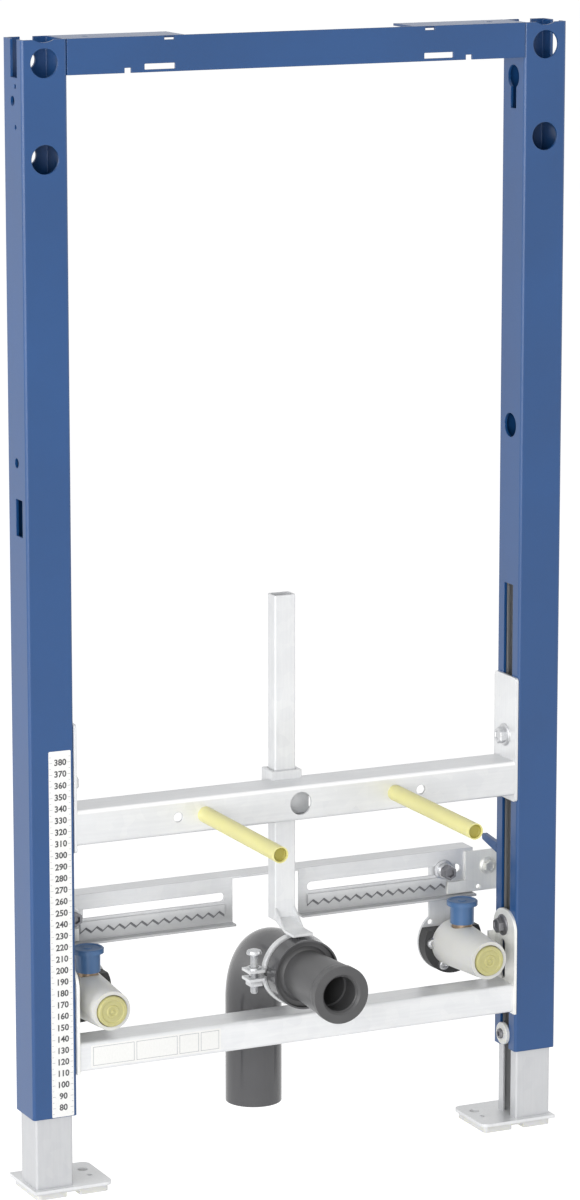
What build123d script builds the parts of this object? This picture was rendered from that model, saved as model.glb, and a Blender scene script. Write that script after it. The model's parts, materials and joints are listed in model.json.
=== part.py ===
"""Installation frame for a wall hung bidet, built as separate named pieces.

Millimetres, +Z up, the floor at z = 0, the front towards -Y.
"""
import os

from build123d import *

os.makedirs("parts", exist_ok=True)

# overall sizes
frame_w = 500.0
frame_top = 980.0
upright_bottom = 71.5
profile = 40.0
wall = 2.5
edge_r = 2.5
inner_edge_r = 0.8
stud_reach = 150.0
waste_back = 98.0
pipe_r = 25.0

# clearances and cutting depths
slide_gap = 0.5
round_gap = 0.3
bore_gap = 0.4
cut_over = 1.0

# upright details, measured down from the top where they belong to it
access_hi_down = 19.0
access_lo_down = 97.0
access_r = 12.0
wall_hole_r = 7.5
arch_r = 17.5
arch_depth = 2.5
rear_drop = 4.5
rear_notch_w = 12.0
side_slot_w = 14.4
side_slot_h = 31.0
side_slot_fwd = 3.0
pin_hole_r = 2.0
pin_hole_fwd = 6.0
pin_hi_down = 38.0
pin_lo_down = 71.0
side_hole_r = 4.1
side_hole_down = 50.0
key_r = 10.0
key_down = 47.0
key_slot_w = 10.0
key_slot_l = 27.0
port_z = 632.0
port_r = 10.5
window_z = 586.5
window_fwd = 4.0
long_slot_w = 16.0
long_slot_top = 492.0
hook_len = 26.0
hook_h = 9.0
hook_t = 4.0
hook_rise = 3.0
hook_over = 2.5

# top bar
top_bar_h = 29.5
top_bar_t = 2.0
top_flange_l = 105.0
clip_slot_w = 9.0
clip_slot_h = 3.0
clip_slot_in = 90.5
long_clip_w = 27.5
long_clip_h = 4.8
long_clip_r = 0.6
long_clip_in = 82.0
long_clip_up = 4.6
notch_w = 6.0
notch_h = 4.2
notch_in = 53.5
flange_hole_r = 2.5
flange_hole_in = 24.0

# ceramic bar and lower bar
sheet = 2.5
plate_t = 2.5
bar_bottom = 306.0
bar_h = 30.5
bar_d = 35.0
bar_r = 3.5
stud_spacing = 180.0
wide_spacing = 230.0
wide_hole_r = 4.2
centre_hole_r = 10.0
bracket_below = 6.0
bracket_l = 111.0
bracket_r = 3.0
bracket_bolt_up = 57.0
bolt_hole_r = 5.5
low_bar_bottom = 108.5
low_bar_h = 25.5
low_bar_d = 29.0
low_bar_r = 3.0
low_bracket_below = 1.5
low_bracket_l = 92.0
low_bracket_fwd = 2.0
low_bracket_r = 18.0
low_flange_w = 6.0
low_flange_drop = 6.0
low_bolt_up = 77.0
low_slot_up = 46.0
low_slot_l = 36.0
low_slot_w = 9.0

# studs and sleeves
stud_r = 5.7
stud_short = 15.0
stud_behind = 4.0
nut_r = 9.5
nut_t = 8.0
sleeve_r = 7.0

# waste carrier
tube_w = 20.0
tube_d = 15.0
tube_t = 1.5
tube_gap = 0.8
tube_bottom = 212.5
tube_top = 497.5
collar_t = 3.0
collar_rise = 7.5
collar_back = 28.0
nose_d = 14.0
waste_z = 172.0
pipe_t = 3.0
bend_r = 50.0
pipe_bottom = 29.0
mouth = 12.0
bead_w = 17.0
bead_r = 30.5
bead_in_r = 29.0
bead_recess = 9.0
clamp_back = 10.0
clamp_w = 6.0
clamp_r = 32.0
clamp_t = 2.5
lining_over = 1.0
lug_out = 48.0
lug_w = 16.0
lug_plate = 15.0
lug_gap = 5.0
lug_hole_r = 4.3
lug_hole_in = 8.0
strap_w = 19.0
strap_t = 2.5
strap_nose = 4.0
cheek_h = 9.0
cheek_t = 1.5
seal_reach = 80.0
seal_r = 25.2
seal_lip_w = 7.0
seal_neck_r = 24.5
seal_root_r = 21.6
seal_bore_r = 16.0
seal_in = 18.0
seal_flange_w = 5.0
seal_chamfer = 1.8

# supply rail and its brackets
rail_back = 72.0
rail_t = 2.0
rail_bottom = 200.0
rail_h = 43.0
rail_inset = 46.0
rail_gap = 64.0
rail_lip = 8.0
rail_flange = 20.0
rail_slot_up = 25.5
rail_slot_h = 8.0
rail_slot_inset = 8.0
rail_slot_past = 11.5
rack_up = 10.0
rack_t = 2.0
rack_gap = 1.0
rack_below_slot = 2.5
tooth_h = 4.0
tooth_pitch = 10.5
arm_inset = 16.0
arm_gap = 1.0
arm_h = 37.0
arm_tab = 4.0
arm_reach = 56.0
arm_step_w = 17.5
arm_step_up = 11.0
arm_bolt_in = 16.0
arm_hole_in = 25.5
arm_hole_r = 2.2

# water fittings
tap_inset = 70.0
tap_z = 161.0
tap_plate_t = 2.0
tap_plate_r = 29.0
tap_neck_w = 26.2
tap_neck_left = 5.5
tap_neck_top = 236.0
tap_hole_r = 2.4
tap_hole_ring = 24.5
tap_hole_count = 4
tap_hole_turn = 45.0
tap_pad_r = 28.5
tap_pad_t = 12.0
tap_pad_rise = 13.0
inlet_back = 45.5
elbow_r = 14.0
elbow_bore_r = 10.0
elbow_bore = 25.0
elbow_out = 2.0
inlet_r = 9.0
inlet_top = 197.0
tap_sleeve_back_r = 21.5
tap_sleeve_front_r = 17.0
tap_sleeve_out = 6.0
plug_r = 13.2
plug_gap = 0.8
plug_out = 8.0
plug_stem = 14.0
cap_bottom = 183.0
cap_top = 203.0
cap_r = 10.6
cap_rim_r = 13.8
cap_rim_h = 3.5

# legs and feet
leg_t = 2.0
leg_r = 2.0
leg_slot_w = 14.0
leg_top = 505.0
pad_h = 6.0
foot_t = 3.0
foot_w = 72.0
foot_out = 2.0
foot_d = 59.0
foot_r = 7.0
foot_hole_r = 4.5
foot_hole_in = 12.0
foot_hole_back = 38.0
small_hole_r = 2.25
small_hole_fwd = 16.0
pad_inset = 3.0
pad_groove_w = 12.0
pad_groove_h = 4.0
brake_r = 10.0
brake_t = 3.5
brake_hole_r = 3.0
brake_round = 1.2
brake_up = 12.5

# places worked out from the sizes above
front = (stud_reach - waste_back - pipe_r) / 2
rear = front + profile
post_x = frame_w / 2 - profile / 2
post_y = front + profile / 2
inner_x = frame_w / 2 - profile
access_hi = frame_top - access_hi_down
access_lo = frame_top - access_lo_down
key_z = frame_top - key_down
bar_end = inner_x - plate_t
bar_z = bar_bottom + bar_h / 2
stud_x = stud_spacing / 2
wide_x = wide_spacing / 2
bracket_bottom = bar_bottom - bracket_below
low_bracket_bottom = low_bar_bottom - low_bracket_below
collar_front = front + collar_back
collar_w = tube_w + 2 * tube_gap + 2 * collar_t
collar_d = tube_d + 2 * tube_gap + 2 * collar_t
tube_front = collar_front + collar_t + tube_gap
tube_back = tube_front + tube_d
strap_z = waste_z + clamp_r
clamp_y = front + clamp_back
lug_x = lug_out - lug_hole_in
rail_y = front + rail_back
rail_top = rail_bottom + rail_h
rail_front = rail_y - rail_lip
rail_end = frame_w / 2 - rail_inset
rail_slot_z = rail_bottom + rail_slot_up
rail_slot_in = rail_gap / 2 + rail_slot_inset
hook_z = rail_top + hook_over
tap_x = frame_w / 2 - tap_inset
rail_slot_out = tap_x + rail_slot_past
inlet_y = front + inlet_back
tap_plate_y = rail_y + rail_t
tap_pad_y = tap_plate_y - tap_pad_t
elbow_front = front - elbow_out
arm_x = frame_w / 2 - arm_inset
arm_in = arm_x - arm_reach
arm_bottom = rail_bottom + rail_t + arm_gap
leg = profile - 2 * wall - 2 * slide_gap
foot_top = pad_h + foot_t
foot_x = frame_w / 2 - foot_w / 2
foot_y = front - foot_out + foot_d / 2
foot_hole_x = frame_w / 2 - foot_w + foot_hole_in
foot_hole_y = front + foot_hole_back
brake_z = upright_bottom + brake_up


def export_pair(left_piece, name):
    """Write a left piece and its mirror image on the right."""
    with BuildPart() as right_piece:
        mirror(left_piece.part, about=Plane.YZ)
    left_piece.part.label = "left_" + name
    right_piece.part.label = "right_" + name
    export_step(left_piece.part, "parts/left_" + name + ".step")
    export_step(right_piece.part, "parts/right_" + name + ".step")


# upright, a square tube open at both ends
with BuildPart() as left_upright:
    with BuildSketch(Plane.XY.offset(upright_bottom)):
        with Locations((-post_x, post_y)):
            RectangleRounded(profile, profile, edge_r)
            RectangleRounded(profile - 2 * wall, profile - 2 * wall, inner_edge_r, mode=Mode.SUBTRACT)
    extrude(amount=frame_top - upright_bottom)
    # hook over the supply rail
    with BuildSketch(Plane.YZ.offset(-inner_x - hook_t)) as hook_outline:
        with BuildLine():
            Polyline(
                (rear - wall / 2, hook_z),
                (rear - wall / 2, hook_z + hook_h),
                (rear + hook_len, hook_z + hook_h + hook_rise),
                (rear + hook_len, hook_z + 2 * hook_rise),
                close=True,
            )
        make_face()
        fillet(hook_outline.vertices().group_by(Axis.X)[-1], hook_h / 4)
    extrude(amount=hook_t)
    # front access holes, and the arched top edge above them
    with BuildSketch(Plane.XZ.offset(-front)):
        with Locations((-post_x, access_hi), (-post_x, access_lo)):
            Circle(access_r)
        with Locations((-post_x, frame_top + arch_r - arch_depth)):
            Circle(arch_r)
    extrude(amount=-wall - cut_over, mode=Mode.SUBTRACT)
    # wall fixing holes behind them, and the notch in the top edge at the back
    with BuildSketch(Plane.XZ.offset(-rear)):
        with Locations((-post_x, access_hi), (-post_x, access_lo)):
            Circle(wall_hole_r)
        with Locations((-post_x, frame_top)):
            Rectangle(rear_notch_w, 2 * rear_drop)
    extrude(amount=wall + cut_over, mode=Mode.SUBTRACT)
    # punched outer side
    with BuildSketch(Plane.YZ.offset(-frame_w / 2)):
        with Locations((post_y - side_slot_fwd, frame_top)):
            Rectangle(side_slot_w, 2 * side_slot_h)
        with Locations((post_y - pin_hole_fwd, frame_top - pin_hi_down),
                       (post_y - pin_hole_fwd, frame_top - pin_lo_down)):
            Circle(pin_hole_r)
        with Locations((post_y, frame_top - side_hole_down), (post_y, port_z)):
            Circle(side_hole_r)
        with Locations((post_y - window_fwd, window_z)):
            Rectangle(side_slot_w, side_slot_h)
    extrude(amount=wall + cut_over, mode=Mode.SUBTRACT)
    # keyhole, port and long slot in the inner side
    with BuildSketch(Plane.YZ.offset(-inner_x)):
        with Locations((post_y, key_z)):
            Circle(key_r)
        with Locations((post_y, key_z - key_slot_l / 2)):
            Rectangle(key_slot_w, key_slot_l)
        with Locations((post_y, port_z)):
            Circle(port_r)
        with Locations((post_y, (long_slot_top + upright_bottom) / 2)):
            Rectangle(long_slot_w, long_slot_top - upright_bottom)
    extrude(amount=-wall - cut_over, mode=Mode.SUBTRACT)
export_pair(left_upright, "upright")

# top bar, a front sheet with a deep flange at each end
flange_x = inner_x - top_flange_l / 2
with BuildPart() as top_bar:
    with BuildSketch(Plane.XZ.offset(-front)):
        with Locations((0, frame_top - top_bar_h / 2)):
            Rectangle(2 * inner_x, top_bar_h)
    extrude(amount=-top_bar_t)
    with BuildSketch(Plane.XY.offset(frame_top)):
        with Locations((flange_x, post_y)):
            Rectangle(top_flange_l, profile)
        with Locations((inner_x - flange_hole_in, post_y)):
            Circle(flange_hole_r, mode=Mode.SUBTRACT)
        mirror(about=Plane.YZ)
    extrude(amount=-top_bar_t)
    # clip slots along the top and the bottom edge
    with BuildSketch(Plane.XZ.offset(-front)):
        with Locations((inner_x - clip_slot_in, frame_top - top_bar_t)):
            Rectangle(clip_slot_w, clip_slot_h)
        with Locations((inner_x - long_clip_in, frame_top - top_bar_h + long_clip_up)):
            RectangleRounded(long_clip_w, long_clip_h, long_clip_r)
        with Locations((inner_x - notch_in, frame_top - top_bar_h)):
            Rectangle(notch_w, 2 * notch_h)
        mirror(about=Plane.YZ)
    extrude(amount=-top_bar_t - cut_over, mode=Mode.SUBTRACT)
top_bar.part.label = "top_bar"
export_step(top_bar.part, "parts/top_bar.step")

# ceramic bar, a channel open to the back
with BuildPart() as ceramic_bar:
    with BuildSketch(Plane.YZ.offset(-bar_end)) as bar_section:
        with Locations((front + bar_d / 2, bar_z)):
            Rectangle(bar_d, bar_h)
        fillet(bar_section.vertices().group_by(Axis.X)[0], bar_r)
        with Locations((front + sheet + bar_d / 2, bar_z)):
            Rectangle(bar_d, bar_h - 2 * sheet, mode=Mode.SUBTRACT)
    extrude(amount=2 * bar_end)
    # stud holes, wide holes and the centre hole
    with BuildSketch(Plane.XZ.offset(-front)):
        with Locations((stud_x, bar_z), (-stud_x, bar_z)):
            Circle(stud_r + round_gap)
        with Locations((wide_x, bar_z), (-wide_x, bar_z)):
            Circle(wide_hole_r)
        with Locations((0, bar_z)):
            Circle(centre_hole_r)
    extrude(amount=-sheet - cut_over, mode=Mode.SUBTRACT)
    # notch in both flanges for the collar
    with BuildSketch(Plane.XY.offset(bar_bottom)):
        with Locations((0, collar_front + bar_d / 2)):
            Rectangle(collar_w, bar_d)
    extrude(amount=bar_h, mode=Mode.SUBTRACT)
ceramic_bar.part.label = "ceramic_bar"
export_step(ceramic_bar.part, "parts/ceramic_bar.step")

# plate that holds an end of the ceramic bar on the upright
with BuildPart() as left_bar_bracket:
    with BuildSketch(Plane.YZ.offset(-inner_x)) as bracket_outline:
        with Locations((post_y, bracket_bottom + bracket_l / 2)):
            Rectangle(profile, bracket_l)
        fillet(bracket_outline.vertices(), bracket_r)
        with Locations((post_y, bracket_bottom + bracket_bolt_up)):
            Circle(bolt_hole_r, mode=Mode.SUBTRACT)
    extrude(amount=plate_t)
export_pair(left_bar_bracket, "bar_bracket")

# stud with its nut behind the bar's front sheet
with BuildPart() as left_stud:
    with BuildSketch(Plane.XZ.offset(stud_reach - stud_short - front)):
        with Locations((-stud_x, bar_z)):
            Circle(stud_r)
    extrude(amount=-(stud_reach - stud_short + sheet + nut_t + stud_behind))
    with BuildSketch(Plane.XZ.offset(-front - sheet)):
        with Locations((-stud_x, bar_z)):
            RegularPolygon(nut_r, 6)
    extrude(amount=-nut_t)
export_pair(left_stud, "stud")

# protective sleeve over the stud
with BuildPart() as left_stud_sleeve:
    with BuildSketch(Plane.XZ.offset(-front)):
        with Locations((-stud_x, bar_z)):
            Circle(sleeve_r)
            Circle(stud_r + round_gap, mode=Mode.SUBTRACT)
    extrude(amount=stud_reach)
export_pair(left_stud_sleeve, "stud_sleeve")

# collar on the back of the ceramic bar that guides the carrier tube
with BuildPart() as carrier_collar:
    with BuildSketch(Plane.XY.offset(bar_bottom)):
        with Locations((0, tube_front + tube_d / 2)):
            Rectangle(collar_w, collar_d)
            Rectangle(tube_w + 2 * tube_gap, tube_d + 2 * tube_gap, mode=Mode.SUBTRACT)
    extrude(amount=bar_h + collar_rise)
    # folded nose that fills the bar behind its centre hole
    with BuildSketch(Plane.XY.offset(bar_bottom + sheet + slide_gap)):
        with Locations((0, collar_front - nose_d / 2)):
            Rectangle(collar_w, nose_d)
        with Locations((0, collar_front - (nose_d - collar_t) / 2)):
            Rectangle(collar_w - 2 * collar_t, nose_d - collar_t, mode=Mode.SUBTRACT)
    extrude(amount=bar_h - 2 * sheet - 2 * slide_gap)
carrier_collar.part.label = "carrier_collar"
export_step(carrier_collar.part, "parts/carrier_collar.step")

# carrier tube
with BuildPart() as carrier_tube:
    with BuildSketch(Plane.XY.offset(tube_bottom)):
        with Locations((0, tube_front + tube_d / 2)):
            RectangleRounded(tube_w, tube_d, tube_t)
            Rectangle(tube_w - 2 * tube_t, tube_d - 2 * tube_t, mode=Mode.SUBTRACT)
    extrude(amount=tube_top - tube_bottom)
carrier_tube.part.label = "carrier_tube"
export_step(carrier_tube.part, "parts/carrier_tube.step")

# bent strap with side cheeks, from the tube to the pipe clamp
with BuildPart() as clamp_strap:
    with BuildSketch(Plane.YZ.offset(-strap_w / 2)):
        with BuildLine():
            Polyline(
                (tube_back, tube_bottom),
                (tube_front, tube_bottom),
                (clamp_y + clamp_w / 2, strap_z + strap_t),
                (front - strap_nose, strap_z + strap_t),
                (front - strap_nose, strap_z),
                (clamp_y + clamp_w / 2, strap_z),
                (tube_front, tube_bottom - strap_t),
                (tube_back, tube_bottom - strap_t),
                close=True,
            )
        make_face()
    extrude(amount=strap_w)
    with BuildSketch(Plane.YZ.offset(-strap_w / 2), Plane.YZ.offset(strap_w / 2 - cheek_t)):
        with BuildLine():
            Polyline(
                (tube_front, tube_bottom - strap_t / 2),
                (tube_front, tube_bottom + cheek_h),
                (clamp_y + clamp_w / 2, strap_z + strap_t / 2),
                close=True,
            )
        make_face()
    extrude(amount=cheek_t)
clamp_strap.part.label = "clamp_strap"
export_step(clamp_strap.part, "parts/clamp_strap.step")

# upper half of the pipe clamp, a lug on its left and its hinge side closed
with BuildPart() as clamp_upper:
    with BuildSketch(Plane.XZ.offset(clamp_w / 2 - clamp_y)):
        with Locations((0, waste_z)):
            Circle(clamp_r)
        with Locations((-lug_out / 2, waste_z + lug_gap / 2 + clamp_t / 2)):
            Rectangle(lug_out, clamp_t)
        with Locations((0, waste_z)):
            Circle(clamp_r - clamp_t, mode=Mode.SUBTRACT)
        with Locations((-lug_out / 2, waste_z + lug_gap / 2 - clamp_r)):
            Rectangle(lug_out, 2 * clamp_r, mode=Mode.SUBTRACT)
        with Locations((lug_out / 2, waste_z + round_gap / 2 - clamp_r)):
            Rectangle(lug_out, 2 * clamp_r, mode=Mode.SUBTRACT)
    extrude(amount=-clamp_w)
    with BuildSketch(Plane.XZ.offset(lug_w / 2 - clamp_y)):
        with Locations((-lug_out + lug_plate / 2, waste_z + lug_gap / 2 + clamp_t / 2)):
            Rectangle(lug_plate, clamp_t)
    extrude(amount=-lug_w)
    with BuildSketch(Plane.XY.offset(waste_z)):
        with Locations((-lug_x, clamp_y)):
            Circle(lug_hole_r)
    extrude(amount=lug_gap / 2 + clamp_t + cut_over, mode=Mode.SUBTRACT)
clamp_upper.part.label = "clamp_upper"
export_step(clamp_upper.part, "parts/clamp_upper.step")

# lower half of the pipe clamp
with BuildPart() as clamp_lower:
    mirror(clamp_upper.part, about=Plane.XY.offset(waste_z))
clamp_lower.part.label = "clamp_lower"
export_step(clamp_lower.part, "parts/clamp_lower.step")

# rubber lining between the clamp and the pipe
with BuildPart() as clamp_lining:
    with BuildSketch(Plane.XZ.offset(clamp_w / 2 + lining_over - clamp_y)):
        with Locations((0, waste_z)):
            Circle(clamp_r - clamp_t - round_gap)
            Circle(pipe_r + round_gap, mode=Mode.SUBTRACT)
    extrude(amount=-clamp_w - 2 * lining_over)
clamp_lining.part.label = "clamp_lining"
export_step(clamp_lining.part, "parts/clamp_lining.step")

# waste bend, a horizontal mouth that turns down behind the lower bar
bend_y = front + waste_back - bend_r
seal_seat = front - mouth + bead_recess
with BuildPart() as waste_bend:
    with BuildLine(Plane.YZ) as bend_path:
        Line((seal_seat, waste_z), (bend_y, waste_z))
        CenterArc((bend_y, waste_z - bend_r), bend_r, 90, -90)
        Line((bend_y + bend_r, waste_z - bend_r), (bend_y + bend_r, pipe_bottom))
    with BuildSketch(Plane.XZ.offset(-seal_seat)):
        with Locations((0, waste_z)):
            Circle(pipe_r)
            Circle(pipe_r - pipe_t, mode=Mode.SUBTRACT)
    sweep(path=bend_path.wire())
    # thick collar round the mouth, hollow at the front for the seal
    with BuildSketch(Plane.XZ.offset(mouth - front)):
        with Locations((0, waste_z)):
            Circle(bead_r)
            Circle(pipe_r - pipe_t / 2, mode=Mode.SUBTRACT)
    extrude(amount=-bead_w)
    with BuildSketch(Plane.XZ.offset(mouth - front)):
        with Locations((0, waste_z)):
            Circle(bead_in_r)
    extrude(amount=-bead_recess, mode=Mode.SUBTRACT)
waste_bend.part.label = "waste_bend"
export_step(waste_bend.part, "parts/waste_bend.step")

# rubber seal in the mouth of the bend
seal_front = front - seal_reach
seal_in_r = pipe_r - pipe_t - round_gap
seal_flange_r = bead_in_r - round_gap
with BuildPart() as waste_seal:
    with BuildSketch(Plane.YZ):
        with BuildLine():
            Polyline(
                (seal_seat + seal_in, waste_z + seal_bore_r),
                (seal_seat + seal_in, waste_z + seal_in_r),
                (seal_seat, waste_z + seal_in_r),
                (seal_seat, waste_z + seal_flange_r),
                (seal_seat - seal_flange_w, waste_z + seal_flange_r),
                (seal_seat - seal_flange_w, waste_z + seal_root_r + pipe_t),
                (seal_seat - seal_flange_w - pipe_t, waste_z + seal_root_r),
                (seal_front + seal_lip_w + pipe_t, waste_z + seal_neck_r),
                (seal_front + seal_lip_w, waste_z + seal_r),
                (seal_front, waste_z + seal_r),
                (seal_front, waste_z + seal_bore_r + seal_chamfer),
                (seal_front + seal_chamfer, waste_z + seal_bore_r),
                close=True,
            )
        make_face()
    revolve(axis=Axis((0, 0, waste_z), (0, 1, 0)))
waste_seal.part.label = "waste_seal"
export_step(waste_seal.part, "parts/waste_seal.step")

# supply rail, one bent sheet with its middle cut away for the waste
rack_x = rail_slot_in
rack_z = rail_bottom + rack_up
rack_top = rail_slot_z - rail_slot_h / 2 - rack_below_slot
teeth = int((arm_in - rack_gap - rack_x) // tooth_pitch)
with BuildPart() as supply_rail:
    with BuildSketch(Plane.YZ.offset(-rail_end)):
        with BuildLine():
            Polyline(
                (rail_front, rail_bottom),
                (rail_front, rail_bottom + rail_t),
                (rail_y, rail_bottom + rail_t),
                (rail_y, rail_top),
                (rail_y + rail_flange, rail_top),
                (rail_y + rail_flange, rail_top - rail_t),
                (rail_y + rail_t, rail_top - rail_t),
                (rail_y + rail_t, rail_bottom),
                close=True,
            )
        make_face()
    extrude(amount=2 * rail_end)
    with BuildSketch(Plane.XZ.offset(cut_over - rail_front)):
        with Locations((0, rail_bottom + rail_h / 2 - rail_t)):
            Rectangle(rail_gap, rail_h)
        with Locations(((rail_slot_in + rail_slot_out) / 2, rail_slot_z)):
            SlotOverall(rail_slot_out - rail_slot_in, rail_slot_h)
        mirror(about=Plane.YZ)
    extrude(amount=-(rail_lip + rail_t + 2 * cut_over), mode=Mode.SUBTRACT)
    # toothed rack below each slot, its teeth pointing down
    crest = [(rack_x + n * tooth_pitch / 2, rack_z + (n % 2) * tooth_h) for n in range(2 * teeth + 1)]
    with BuildSketch(Plane.XZ.offset(-rail_y)):
        with BuildLine():
            Polyline(
                (rack_x, rack_top),
                *crest,
                (rack_x + teeth * tooth_pitch, rack_top),
                close=True,
            )
        make_face()
        mirror(about=Plane.YZ)
    extrude(amount=rack_t)
supply_rail.part.label = "supply_rail"
export_step(supply_rail.part, "parts/supply_rail.step")

# bracket from the upright's back to the front of the rail
with BuildPart() as left_rail_bracket:
    with BuildSketch(Plane.XY.offset(arm_bottom)):
        with BuildLine():
            Polyline(
                (-frame_w / 2 + arm_tab, rear),
                (-arm_x + plate_t, rear),
                (-arm_x + plate_t, rail_y - plate_t),
                (-arm_in, rail_y - plate_t),
                (-arm_in, rail_y),
                (-arm_x, rail_y),
                (-arm_x, rear + plate_t),
                (-frame_w / 2 + arm_tab, rear + plate_t),
                close=True,
            )
        make_face()
    extrude(amount=arm_h)
    # step round the rail's nut, the fixing hole and a small hole
    with BuildSketch(Plane.XZ.offset(plate_t + cut_over - rail_y)):
        with Locations((-arm_in - arm_step_w / 2, arm_bottom + arm_step_up + arm_h / 2)):
            Rectangle(arm_step_w, arm_h)
        with Locations((-arm_x + arm_bolt_in, rail_slot_z)):
            Circle(rail_slot_h / 2)
        with Locations((-arm_x + arm_hole_in, arm_bottom + arm_tab)):
            Circle(arm_hole_r)
    extrude(amount=-plate_t - 2 * cut_over, mode=Mode.SUBTRACT)
export_pair(left_rail_bracket, "rail_bracket")

# plates behind the rail that carry the water fittings, both the same way round
for plate_name, plate_x in (("left_tap_plate", -tap_x), ("right_tap_plate", tap_x)):
    with BuildPart() as tap_plate:
        with BuildSketch(Plane.XZ.offset(-tap_plate_y)):
            with Locations((plate_x, tap_z)):
                Circle(tap_plate_r)
            with Locations((plate_x - tap_neck_left, (tap_z + tap_neck_top) / 2)):
                Rectangle(tap_neck_w, tap_neck_top - tap_z)
            with Locations((plate_x - tap_neck_left, rail_slot_z)):
                Circle(rail_slot_h / 2, mode=Mode.SUBTRACT)
            with Locations((plate_x, tap_z)):
                with PolarLocations(tap_hole_ring, tap_hole_count, tap_hole_turn):
                    Circle(tap_hole_r, mode=Mode.SUBTRACT)
        extrude(amount=-tap_plate_t)
    tap_plate.part.label = plate_name
    export_step(tap_plate.part, "parts/" + plate_name + ".step")

# rubber cradle between the fitting and its plate, open at the top
with BuildPart() as left_tap_pad:
    with BuildSketch(Plane.XZ.offset(-tap_pad_y)):
        with Locations((-tap_x, tap_z)):
            Circle(tap_pad_r)
            Circle(elbow_r + round_gap, mode=Mode.SUBTRACT)
        with Locations((-tap_x, tap_z + tap_pad_rise + tap_pad_r / 2)):
            Rectangle(2 * tap_pad_r, tap_pad_r, mode=Mode.SUBTRACT)
    extrude(amount=-tap_pad_t)
export_pair(left_tap_pad, "tap_pad")

# brass elbow, its outlet to the front and its inlet upwards
with BuildPart() as left_tap_elbow:
    with BuildSketch(Plane.XZ.offset(-elbow_front)):
        with Locations((-tap_x, tap_z)):
            Circle(elbow_r)
    extrude(amount=-(tap_plate_y - elbow_front))
    with BuildSketch(Plane.XY.offset(tap_z)):
        with Locations((-tap_x, inlet_y)):
            Circle(inlet_r)
    extrude(amount=inlet_top - tap_z)
    with BuildSketch(Plane.XZ.offset(-elbow_front)):
        with Locations((-tap_x, tap_z)):
            Circle(elbow_bore_r)
    extrude(amount=-elbow_bore, mode=Mode.SUBTRACT)
export_pair(left_tap_elbow, "tap_elbow")

# tapered white sleeve round the outlet
sleeve_front = front - tap_sleeve_out
with BuildPart() as left_tap_sleeve:
    with BuildSketch(Plane.YZ.offset(-tap_x)):
        with BuildLine():
            Polyline(
                (sleeve_front, tap_z + plug_r + plug_gap),
                (sleeve_front, tap_z + tap_sleeve_front_r),
                (tap_pad_y, tap_z + tap_sleeve_back_r),
                (tap_pad_y, tap_z + elbow_r + round_gap),
                (elbow_front, tap_z + elbow_r + round_gap),
                (elbow_front, tap_z + plug_r + plug_gap),
                close=True,
            )
        make_face()
    revolve(axis=Axis((-tap_x, 0, tap_z), (0, 1, 0)))
    with BuildSketch(Plane.XY.offset(tap_z)):
        with Locations((-tap_x, inlet_y)):
            Circle(inlet_r + bore_gap)
    extrude(amount=tap_sleeve_back_r + cut_over, mode=Mode.SUBTRACT)
export_pair(left_tap_sleeve, "tap_sleeve")

# plug in the outlet
with BuildPart() as left_tap_plug:
    with BuildSketch(Plane.XZ.offset(plug_out - front)):
        with Locations((-tap_x, tap_z)):
            Circle(plug_r)
    extrude(amount=-(plug_out - elbow_out))
    with BuildSketch(Plane.XZ.offset(-elbow_front)):
        with Locations((-tap_x, tap_z)):
            Circle(elbow_bore_r - bore_gap)
    extrude(amount=-plug_stem)
export_pair(left_tap_plug, "tap_plug")

# cap on the inlet
with BuildPart() as left_inlet_cap:
    with BuildSketch(Plane.XY.offset(cap_bottom)):
        with Locations((-tap_x, inlet_y)):
            Circle(cap_r)
    extrude(amount=cap_top - cap_bottom)
    with BuildSketch(Plane.XY.offset(cap_top)):
        with Locations((-tap_x, inlet_y)):
            Circle(cap_rim_r)
    extrude(amount=-cap_rim_h)
    with BuildSketch(Plane.XY.offset(cap_bottom)):
        with Locations((-tap_x, inlet_y)):
            Circle(inlet_r + round_gap)
    extrude(amount=inlet_top - cap_bottom, mode=Mode.SUBTRACT)
export_pair(left_inlet_cap, "inlet_cap")

# lower bar
low_bar_z = low_bar_bottom + low_bar_h / 2
with BuildPart() as lower_bar:
    with BuildSketch(Plane.YZ.offset(-bar_end)) as low_section:
        with Locations((front + low_bar_d / 2, low_bar_z)):
            Rectangle(low_bar_d, low_bar_h)
        fillet(low_section.vertices().group_by(Axis.X)[0], low_bar_r)
        with Locations((front + sheet + low_bar_d / 2, low_bar_z)):
            Rectangle(low_bar_d, low_bar_h - 2 * sheet, mode=Mode.SUBTRACT)
    extrude(amount=2 * bar_end)
lower_bar.part.label = "lower_bar"
export_step(lower_bar.part, "parts/lower_bar.step")

# round topped plate that holds an end of the lower bar
with BuildPart() as left_lower_bracket:
    with BuildSketch(Plane.YZ.offset(-inner_x)) as low_outline:
        with Locations((post_y - low_bracket_fwd, low_bracket_bottom + low_bracket_l / 2)):
            Rectangle(profile, low_bracket_l)
        fillet(low_outline.vertices().group_by(Axis.Y)[-1], low_bracket_r)
        with Locations((post_y, low_bracket_bottom + low_bolt_up)):
            Circle(bolt_hole_r, mode=Mode.SUBTRACT)
        with Locations((post_y, low_bracket_bottom + low_slot_up)):
            SlotOverall(low_slot_l, low_slot_w, rotation=90, mode=Mode.SUBTRACT)
    extrude(amount=plate_t)
    # stiffening flange along the straight part of the back edge
    with BuildSketch(Plane.XZ.offset(-post_y + low_bracket_fwd - profile / 2)):
        with Locations((-inner_x, low_bracket_bottom)):
            Rectangle(plate_t + low_flange_w, low_bracket_l - low_bracket_r - low_flange_drop, align=Align.MIN)
    extrude(amount=plate_t)
export_pair(left_lower_bracket, "lower_bracket")

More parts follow.
